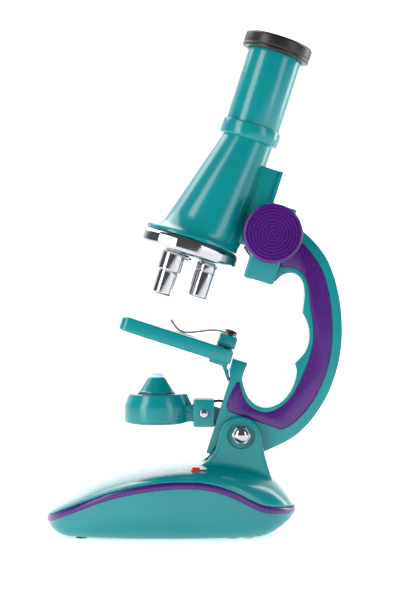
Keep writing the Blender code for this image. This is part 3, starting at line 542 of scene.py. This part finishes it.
def hinge_bolt():
    """A hexagon head with a domed top, and its shank."""
    dome_radius, dome_rise, dome_foot = 3.3, 2.1, -14.9
    hexagon = solid("fine_hinge_bolt", cross_turned(0, 0, [(4.3, -15.0), (4.3, -11.6)], 6), BASE)
    soften(hexagon, 0.5, 3)
    shank = solid("shank", cross_turned(0, 0, [(2.0, -12.0), (2.0, 15.6)], 40), BASE)
    dome = [(0.05, dome_foot - dome_rise)]
    for degrees in range(10, 91, 8):
        angle = math.radians(degrees)
        dome.append((dome_radius * math.sin(angle), dome_foot - dome_rise * math.cos(angle)))
    dome.append((dome_radius, -14.2))
    combine(hexagon, "UNION", solid("dome", cross_turned(0, 0, dome, 64), BASE), shank)
    finish_piece(hexagon, "hinge_bolt")


# ---- arm ----

ARM_OUTER = [(-8.0, 95.0), (-0.9, 92.4), (6.6, 88.6), (13.2, 83.4), (19.8, 74.8), (25.5, 63.8),
             (29.5, 51.9), (31.2, 40.5), (30.8, 28.6), (28.2, 17.6), (24.2, 8.8), (19.8, 3.1), (13.2, -3.1)]
GRIP_TOP = [(-8.0, 66.8), (-5.9, 68.2), (-4.2, 71.2), (-1.0, 73.6), (2.6, 73.5), (5.7, 71.0), (7.9, 66.2),
            (8.8, 61.8), (9.5, 58.6)]
GRIP_MIDDLE = [(9.5, 58.6), (12.3, 55.6), (14.6, 52.0), (15.9, 47.5), (15.8, 43.0), (14.5, 39.6),
               (13.0, 36.6)]
GRIP_LOW = [(13.0, 36.6), (14.8, 33.6), (15.4, 28.6), (14.5, 22.9), (11.9, 17.9), (7.7, 14.7), (3.5, 14.0),
            (-0.9, 15.6), (-4.4, 19.2), (-6.6, 22.9), (-7.0, 26.0)]
INSERT_OUTER = [(-6.1, 88.9), (-1.5, 88.2), (5.0, 84.6), (11.6, 79.2), (17.4, 70.8), (22.2, 60.6),
                (25.6, 49.8), (27.0, 39.8), (26.6, 29.4), (24.4, 20.2), (21.0, 12.8), (17.6, 8.6)]
INSERT_INNER = [(-6.1, 74.6), (-3.4, 75.6), (0.6, 76.2), (4.8, 74.6), (8.6, 69.8), (11.4, 63.2),
                (14.8, 56.4), (17.6, 48.6), (18.2, 40.2), (17.6, 31.6), (16.4, 23.8), (13.4, 17.2),
                (9.0, 13.0), (4.2, 11.9), (-0.8, 13.2), (-4.6, 16.6), (-7.4, 21.2)]


def arm_outline():
    grip = through(GRIP_TOP, 4) + through(GRIP_MIDDLE, 4)[1:] + through(GRIP_LOW, 4)[1:]
    front = [(-6.6, 30.4), (-13.2, 30.4), (-13.2, 25.1), (-11.9, 22.0), (-11.9, -12.3), (-9.6, -12.3),
             (-9.0, -8.0)]
    heel = arc(0, 0, 11.6, 232, 330, 16)
    return grip + front + heel + through(ARM_OUTER, 4)[::-1]


def insert_outline():
    toe = [(-8.4, 21.0), (-9.7, 15.4), (-9.7, 10.0), (-7.8, 7.8), (15.6, 7.4)]
    return through(INSERT_OUTER, 4) + toe[::-1] + through(INSERT_INNER, 4)[::-1]


def grown(outline, distance):
    """Moves a closed outline outwards."""
    area = sum(x0 * z1 - x1 * z0 for (x0, z0), (x1, z1) in zip(outline, outline[1:] + outline[:1]))
    side = 1 if area > 0 else -1
    moved = []
    for i, (x, z) in enumerate(outline):
        (xa, za), (xb, zb) = outline[i - 1], outline[(i + 1) % len(outline)]
        length = math.hypot(xb - xa, zb - za)
        moved.append((x + side * (zb - za) / length * distance, z - side * (xb - xa) / length * distance))
    return moved


def arm_half(node, side):
    """One moulded half of the arm, cut out for the rail, the focus shaft, the inlay and the hinge."""
    half = solid(f"fine_{node}", prism(arm_outline(), *span(side, GAP / 2, ARM_HALF)), ARM)
    soften(half, 1.3, 5, 60)
    block_outline = rounded(-19.8, 66.0, -6.6, 100.3, 1.0)
    head = solid("head", prism(block_outline, *span(side, GAP / 2, HEAD_HALF)), ARM)
    soften(head, 0.7, 3, 60)
    lug = [(-10.6, -0.6), (-10.6, 7.8)] + arc(-18.0, 3.6, 4.2, 90, 270, 20)
    combine(half, "UNION", head, solid("lug", prism(lug, *span(side, GAP / 2, 3.0)), ARM))
    cutters = [block((-22.0, -7.2, 60.0), (-16.3, 7.2, 106.0)),
               block((-18.9, -8.8, 60.0), (-16.9, 8.8, 106.0)),
               block((-17.5, -7.2, 80.0), (-8.8, 7.2, 94.0)),
               cross_turned(FOCUS_X, FOCUS_Z, [(1.9, -14.0), (1.9, 14.0)]),
               prism(grown(insert_outline(), 0.2), *span(side, ARM_HALF - 1.2, ARM_HALF + 1)),
               cross_turned(0, 0, [(HINGE_BORE, -14), (HINGE_BORE, 14)]),
               block((-14.0, -3.3, 19.9), (-9.5, 3.3, 24.5)),
               block((-14.0, -1.0, 10.0), (-8.0, 1.0, 12.0))]
    combine(half, "DIFFERENCE", *[solid(f"cut_{i}", shape, ARM) for i, shape in enumerate(cutters)])
    finish_piece(half, node)


def arm_insert(node, side):
    """The inlay, just under flush in its recess and softly rounded."""
    back, face = ARM_HALF - 1.1, ARM_HALF - 0.05
    panel = solid(f"fine_{node}", prism(insert_outline(), *span(side, back, face)), ARM)
    finish_piece(soften(panel, 0.45, 3, 50), node)


# ---- tube ----

CONE_FOOT_X = -43.1
CONE_FOOT_Z = 79.2
CONE_FOOT_RADIUS = 17.8
CONE_TOP_RADIUS = 11.4
CONE_HEIGHT = 43.9
CONE_STEPS = 8


def body_tube():
    """The tapered tube, which leans towards the turret's axis at its foot, and its rail."""
    outer = [(TURRET_X, 20.9, 74.4), (TURRET_X, 20.9, 75.5), (TURRET_X + 0.1, 20.7, 75.9),
             (TURRET_X + 1.2, 19.6, 76.6), (-44.0, 18.5, 77.7),
             (CONE_FOOT_X, CONE_FOOT_RADIUS, CONE_FOOT_Z)]
    for k in range(1, CONE_STEPS + 1):
        t = k / CONE_STEPS
        outer.append((CONE_FOOT_X + (OPTICAL_X - CONE_FOOT_X) * t,
                      CONE_FOOT_RADIUS + (CONE_TOP_RADIUS - CONE_FOOT_RADIUS) * t,
                      CONE_FOOT_Z + CONE_HEIGHT * t))
    collar = [(11.7, 123.3), (12.7, 123.5), (13.1, 123.8), (13.3, 124.4), (13.3, 129.4), (13.1, 130.0),
              (12.7, 130.2), (12.25, 130.2), (12.2, 125.4), (9.8, 125.4), (9.6, 122.0)]
    outer += [(OPTICAL_X, radius, z) for radius, z in collar] + [(-42.9, 15.8, 80.0), (-42.9, 15.0, 76.6)]
    tube = solid("fine_body_tube", loft([circle(x, z, radius, 112) for x, radius, z in outer]), ARM)
    rail = soften(solid("rail", block((-28.5, -6.9, 79.0), (-18.6, 6.9, 114.4)), ARM), 0.6, 3)
    tongue = soften(solid("tongue", block((-18.8, -8.5, 79.0), (-17.2, 8.5, 114.4)), ARM), 0.25, 2)
    combine(tube, "UNION", rail, tongue)
    cavity = [(-42.9, 14.8, 76.7), (-42.9, 15.7, 80.0), (OPTICAL_X, 9.5, 122.0), (OPTICAL_X, 9.5, 126.0)]
    cutters = [loft([circle(x, z, radius, 64) for x, radius, z in cavity]),
               block((-20.1, -3.7, 78.0), (-16.0, 3.7, 116.0)),
               turned(OPTICAL_X, [(3.4, 73.0), (3.4, 78.0)], 40),
               turned(TURRET_X, [(1.8, 73.0), (1.8, 78.0)], 40)]
    combine(tube, "DIFFERENCE", *[solid(f"cut_{i}", shape, ARM) for i, shape in enumerate(cutters)])
    finish_piece(tube, "body_tube")


def eyepiece():
    draw = [(12.1, 125.7), (12.1, 164.8), (10.6, 164.8), (10.6, 125.7)]
    shape = hollow_turned(OPTICAL_X, rounded_profile(draw, 0.3, 3, True))
    finish_piece(solid("fine_eyepiece_tube", shape, ARM), "eyepiece_tube")
    cap = [(14.7, 162.8), (15.2, 163.3), (15.2, 164.2), (14.9, 164.5), (14.9, 164.8), (15.2, 165.1),
           (15.2, 168.8), (14.4, 169.8), (12.8, 169.8), (9.6, 168.2), (5.6, 167.2), (5.6, 166.8),
           (8.4, 166.8), (8.4, 165.1), (12.4, 165.1), (12.4, 162.8)]
    shape = hollow_turned(OPTICAL_X, rounded_profile(cap, 0.25, 3, True))
    finish_piece(solid("fine_eyepiece_cap", shape, ARM), "eyepiece_cap")


# ---- focus knobs ----

KNOB_RADIUS = 13.0
KNOB_BACK = 12.4
KNOB_FACE = 18.8
KNOB_RINGS = 8
RINGS_RADIUS = 11.4
RING_GROOVE = ((0.0, 0.0), (0.14, 0.32), (0.28, 0.45), (0.42, 0.32), (0.56, 0.0), (0.78, 0.0))
KNOB_FLUTES = 60
FLUTE_STEPS = 4
FLUTE_DEPTH = 0.014


def focus_knob(node, side):
    """A knob with ring grooves in its face and fine flutes round its rim."""
    profile = [(4.0, HEAD_HALF + 0.4), (4.0, KNOB_BACK), (12.2, KNOB_BACK), (12.8, KNOB_BACK + 0.4)]
    rim = len(profile)
    profile += [(KNOB_RADIUS, KNOB_BACK + 1.0), (KNOB_RADIUS, KNOB_FACE - 1.2)]
    profile += [(12.75, KNOB_FACE - 0.5), (12.3, KNOB_FACE - 0.1), (11.9, KNOB_FACE)]
    pitch = RINGS_RADIUS / KNOB_RINGS
    for ring in range(KNOB_RINGS):
        outer = RINGS_RADIUS - ring * pitch
        for share, depth in RING_GROOVE:
            profile.append((max(outer - share * pitch, 0.05), KNOB_FACE - depth))
    count = KNOB_FLUTES * FLUTE_STEPS
    rings = []
    for i, (radius, y) in enumerate(profile):
        ring = cross_circle(0, 0, radius, side * y, count)
        if i in (rim, rim + 1):
            for k in range(count):
                x, y_at, z = ring[k]
                dip = 1 - FLUTE_DEPTH * (0.5 - 0.5 * math.cos(2 * math.pi * k / FLUTE_STEPS))
                ring[k] = (x * dip, y_at, z * dip)
        rings.append(ring)
    finish_piece(solid(f"fine_{node}", loft(rings), FOCUS), node)


# ---- turret ----

OBJECTIVE_REACH = OPTICAL_X - TURRET_X
DISC_RADIUS = 22.3
RIM_FLATS = 14
RIM_STEPS = 12
RIM_DEPTH = 0.018
OBJECTIVES = (("low", 120.0, [(4.3, 56.0), (4.8, 56.4), (4.9, 56.8), (4.9, 62.4), (4.7, 62.5), (4.7, 62.9),
                              (4.9, 63.0), (4.9, 65.6), (4.5, 66.6)]),
              ("medium", 0.0, [(4.2, 51.0), (4.6, 51.3), (4.7, 51.8), (4.85, 62.4), (4.65, 62.5),
                               (4.65, 62.9), (4.85, 63.0), (4.9, 65.6), (4.5, 66.6)]),
              ("high", 240.0, [(3.6, 47.5), (4.1, 47.8), (4.3, 48.3), (4.45, 57.5), (4.3, 57.6), (4.3, 57.9),
                               (5.1, 58.2), (5.3, 58.8), (5.3, 65.6), (4.9, 66.6)]))


def objective_place(degrees):
    angle = math.radians(degrees)
    return OBJECTIVE_REACH * math.cos(angle), OBJECTIVE_REACH * math.sin(angle)


def turret_disc():
    """The disc, with shallow flats round its rim that fade out towards its middle."""
    disc = [(0.05, 66.9), (20.0, 66.9), (21.7, 67.7), (DISC_RADIUS, 68.8), (DISC_RADIUS, 72.2),
            (21.7, 73.3), (20.4, 74.1), (0.05, 74.1)]
    rings = []
    for radius, z in rounded_profile(disc, 0.5, 4):
        ring = []
        for x, y, _ in circle(0, z, radius, RIM_FLATS * RIM_STEPS):
            off = (math.atan2(y, x) * RIM_FLATS / (2 * math.pi)) % 1.0 - 0.5
            flat = 1 - RIM_DEPTH * (1 - (2 * off) ** 2) * (radius / DISC_RADIUS) ** 12
            ring.append((x * flat, y * flat, z))
        rings.append(ring)
    obj = solid("fine_turret_disc", loft(rings), TURRET)
    cutters = [turned(0, [(1.8, 60.0), (1.8, 80.0)], 32)]
    for _, degrees, _ in OBJECTIVES:
        x, y = objective_place(degrees)
        cutters += [turned(x, [(3.8, 60.0), (3.8, 70.6)], 40, y),
                    turned(x, [(2.6, 69.0), (2.6, 80.0)], 32, y)]
    combine(obj, "DIFFERENCE", *[solid(f"cut_{i}", shape, TURRET) for i, shape in enumerate(cutters)])
    finish_piece(obj, "turret_disc")


def objectives():
    """Three barrels, each bored through and with a spigot that seats it in the disc."""
    for name, degrees, profile in OBJECTIVES:
        x, y = objective_place(degrees)
        low = profile[0][1]
        spigot = [(3.5, 66.6), (3.5, 70.3), (2.4, 70.3)]
        bore = [(2.4, low + 1.2), (1.9, low + 0.6), (2.2, low)]
        whole = profile + spigot + bore
        shape = hollow_turned(x, rounded_profile(whole, 0.15, 2, True), 72, y)
        finish_piece(solid(f"fine_objective_{name}", shape, TURRET), f"objective_{name}")


# ---- lamp ----


def lamp_pieces():
    drum = [(12.8, -4.3), (13.9, -4.1), (14.1, -3.5), (14.1, 2.9), (13.9, 3.9), (12.4, 8.0), (11.9, 8.4),
            (8.6, 8.4), (8.6, 6.9), (11.2, 6.9), (12.4, 2.8), (12.4, -4.3)]
    shape = hollow_turned(LAMP_X, rounded_profile(drum, 0.3, 3, True), 96)
    housing = solid("fine_lamp_housing", shape, LAMP)
    tab = [(-12.5, 3.0), (-12.5, 8.3), (-7.4, 8.3), (-5.6, 4.0), (-5.6, 2.0)]
    parts = [soften(solid("neck", block((-8.5, -5.0, -3.7), (-4.0, 5.0, 3.8)), LAMP), 0.5, 3),
             soften(solid("tab", prism(tab, -3.4, 3.4), LAMP), 0.35, 2),
             soften(solid("rib", block((-12.0, -5.35, -0.6), (-4.0, 5.35, 0.7)), LAMP), 0.3, 2),
             soften(solid("fork", prism(rounded(-4.7, -5.9, 4.5, 6.1, 0.9), -7.0, 7.0), LAMP), 0.5, 3)]
    combine(housing, "UNION", *parts)
    combine(housing, "DIFFERENCE",
            solid("slot", block((-4.95, -3.3, -8.0), (6.0, 3.3, 8.0)), LAMP),
            solid("inside", turned(LAMP_X, [(12.3, -5.0), (12.3, 2.6), (11.1, 6.8)], 64), LAMP),
            solid("bore", cross_turned(0, 0, [(1.6, -8.0), (1.6, 8.0)], 40), LAMP))
    finish_piece(housing, "lamp_housing")
    hood = [(8.1, 8.5), (8.1, 9.4), (7.5, 9.7), (3.7, 15.6), (2.7, 15.6), (6.3, 9.8), (6.3, 8.5)]
    shape = hollow_turned(LAMP_X, rounded_profile(hood, 0.25, 3, True), 96)
    finish_piece(solid("fine_lamp_hood", shape, LAMP), "lamp_hood")
    dome = [(2.3, 14.9), (2.3, 15.8), (3.5, 15.8), (3.45, 16.3), (3.1, 16.9), (2.2, 17.4),
            (1.1, 17.58), (0.05, 17.6)]
    finish_piece(solid("fine_lamp_lens", turned(LAMP_X, dome, 64), LAMP), "lamp_lens")
    cover = [(0.05, -4.9), (11.0, -4.9), (11.8, -4.6), (12.1, -4.1), (12.1, -3.1), (0.05, -3.1)]
    finish_piece(solid("fine_lamp_cover", turned(LAMP_X, cover, 96), LAMP), "lamp_cover")


# ---- clips ----

CLIP_LINE = [(3.0, 40.2), (-3.0, 40.2), (-5.2, 40.0), (-8.8, 39.1), (-13.2, 37.1), (-17.4, 35.3),
             (-20.4, 34.7), (-23.4, 35.6), (-26.8, 38.2)]
CLIP_HALF_THICK = 0.22
CLIP_HALF_WIDTH = 2.8
CLIP_TAPER = 1.2


def stage_clip(node, joint_name):
    """A bent spring strip that tapers towards its lifted tip, with rounded edges."""
    place = joint_place(joint_name) @ LEAN
    height = (ARM.inverted() @ Vector(joints[joint_name]["pos_m"])).z / MM
    line = CLIP_LINE[:2] + through(CLIP_LINE[1:], 8)[1:]
    rings = []
    for i, (x, z) in enumerate(line):
        (xa, za), (xb, zb) = line[max(i - 1, 0)], line[min(i + 1, len(line) - 1)]
        length = math.hypot(xb - xa, zb - za)
        nx, nz = -(zb - za) / length * CLIP_HALF_THICK, (xb - xa) / length * CLIP_HALF_THICK
        width = CLIP_HALF_WIDTH - CLIP_TAPER * i / (len(line) - 1)
        rings.append([(x + nx, -width, z + nz - height), (x - nx, -width, z - nz - height),
                      (x - nx, width, z - nz - height), (x + nx, width, z + nz - height)])
    clip = soften(solid(f"fine_{node}", loft(rings), place), 0.1, 2, 50)
    hole = turned(0, [(1.5, 38.0 - height), (1.5, 43.0 - height)], 32)
    finish_piece(combine(clip, "DIFFERENCE", solid("hole", hole, place)), node)


# ---- the whole microscope ----

upper_shell()
lower_shell()
trim_band()
hinge_bolt()
arm_half("arm_near_half", -1)
arm_half("arm_far_half", 1)
arm_insert("arm_insert_near", -1)
arm_insert("arm_insert_far", 1)
body_tube()
eyepiece()
focus_knob("focus_knob_near", -1)
focus_knob("focus_knob_far", 1)
turret_disc()
objectives()
lamp_pieces()
stage_clip("stage_clip_near", "clip_near_swivel")
stage_clip("stage_clip_far", "clip_far_swivel")

dressed("stage_plate", 0.5, 3)
dressed("clip_block", 0.2, 2)
dressed("battery_cover", 0.4, 3)
dressed("switch_knob", 0.3, 3)
for plain in ("hinge_nut", "lamp_pin", "foot_front", "foot_rear", "focus_shaft", "switch_body",
              "clip_screw_near", "clip_screw_far", "turret_screw"):
    dressed(plain, 0.2, 2)

shown_for = set()
for obj in bpy.data.objects:
    shown_for.update(obj.get("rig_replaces", []))
for node, obj in frame["nodes"].items():
    if node not in shown_for:
        obj.data.shade_smooth()
        obj.data.set_sharp_from_angle(angle=SMOOTH_ANGLE)
        obj.data.materials.clear()
        obj.data.materials.append(FINISH[slot_of[node]])


# ---- studio ----


def studio_floor():
    """A pale sweep: a floor that curves up into a wall behind the object."""
    half_width_m, front, depth, height, bend = 2.5, -2.5, 0.9, 1.6, 0.35
    profile = [(front, 0.0), (depth - bend, 0.0)]
    profile += [(depth - bend + bend * math.sin(math.radians(a)), bend - bend * math.cos(math.radians(a)))
                for a in range(6, 91, 6)]
    profile.append((depth, height))
    shape = bmesh.new()
    left = [shape.verts.new((-half_width_m, y, z)) for y, z in profile]
    right = [shape.verts.new((half_width_m, y, z)) for y, z in profile]
    for i in range(len(profile) - 1):
        shape.faces.new((left[i], right[i], right[i + 1], left[i + 1]))
    mesh = bpy.data.meshes.new("studio_sweep")
    shape.to_mesh(mesh)
    shape.free()
    mesh.shade_smooth()
    sweep = link("studio_sweep", mesh)
    mat = surface("studio_paper", (0.9, 0.9, 0.9), 0.8, grain=0.0, cloud=0.005)
    shader = mat.node_tree.nodes["Principled BSDF"]
    shader.inputs["Emission Color"].default_value = (1.0, 1.0, 1.0, 1.0)
    shader.inputs["Emission Strength"].default_value = 0.62
    mesh.materials.append(mat)


def softbox(name, place, target, size, power):
    light = bpy.data.lights.new(name, "AREA")
    light.shape = "RECTANGLE"
    light.size, light.size_y = size
    light.energy = power
    obj = bpy.data.objects.new(name, light)
    obj.location = place
    obj.rotation_euler = (Vector(target) - Vector(place)).to_track_quat("-Z", "Y").to_euler()
    bpy.context.scene.collection.objects.link(obj)


def camera():
    """A long lens level with the middle of the object, square to its side."""
    distance, view_height = 0.8, 0.264
    off_side, eye_height = 0.0037, 0.1025
    lens = bpy.data.cameras.new("camera")
    lens.sensor_fit = "VERTICAL"
    lens.sensor_height = 24.0
    lens.lens = lens.sensor_height * distance / view_height
    obj = bpy.data.objects.new("camera", lens)
    obj.location = (off_side, -distance, eye_height)
    obj.rotation_euler = (math.radians(90.0), 0.0, 0.0)
    bpy.context.scene.collection.objects.link(obj)
    bpy.context.scene.camera = obj


studio_floor()
middle = (0.0, 0.0, 0.1)
softbox("key", (-0.66, -0.6, 0.25), middle, (0.34, 1.2), 7.0)
softbox("top", (-0.3, 0.42, 0.8), middle, (0.9, 0.6), 6.0)
softbox("rim", (0.75, 0.35, 0.35), middle, (0.25, 0.9), 4.0)
softbox("fill", (0.75, -0.6, 0.3), middle, (0.3, 0.8), 2.0)
world = bpy.data.worlds.new("studio")
world.use_nodes = True
world.node_tree.nodes["Background"].inputs["Color"].default_value = (0.9, 0.94, 1.0, 1.0)
world.node_tree.nodes["Background"].inputs["Strength"].default_value = 0.12
bpy.context.scene.world = world
bpy.context.scene.view_settings.view_transform = "Standard"
camera()
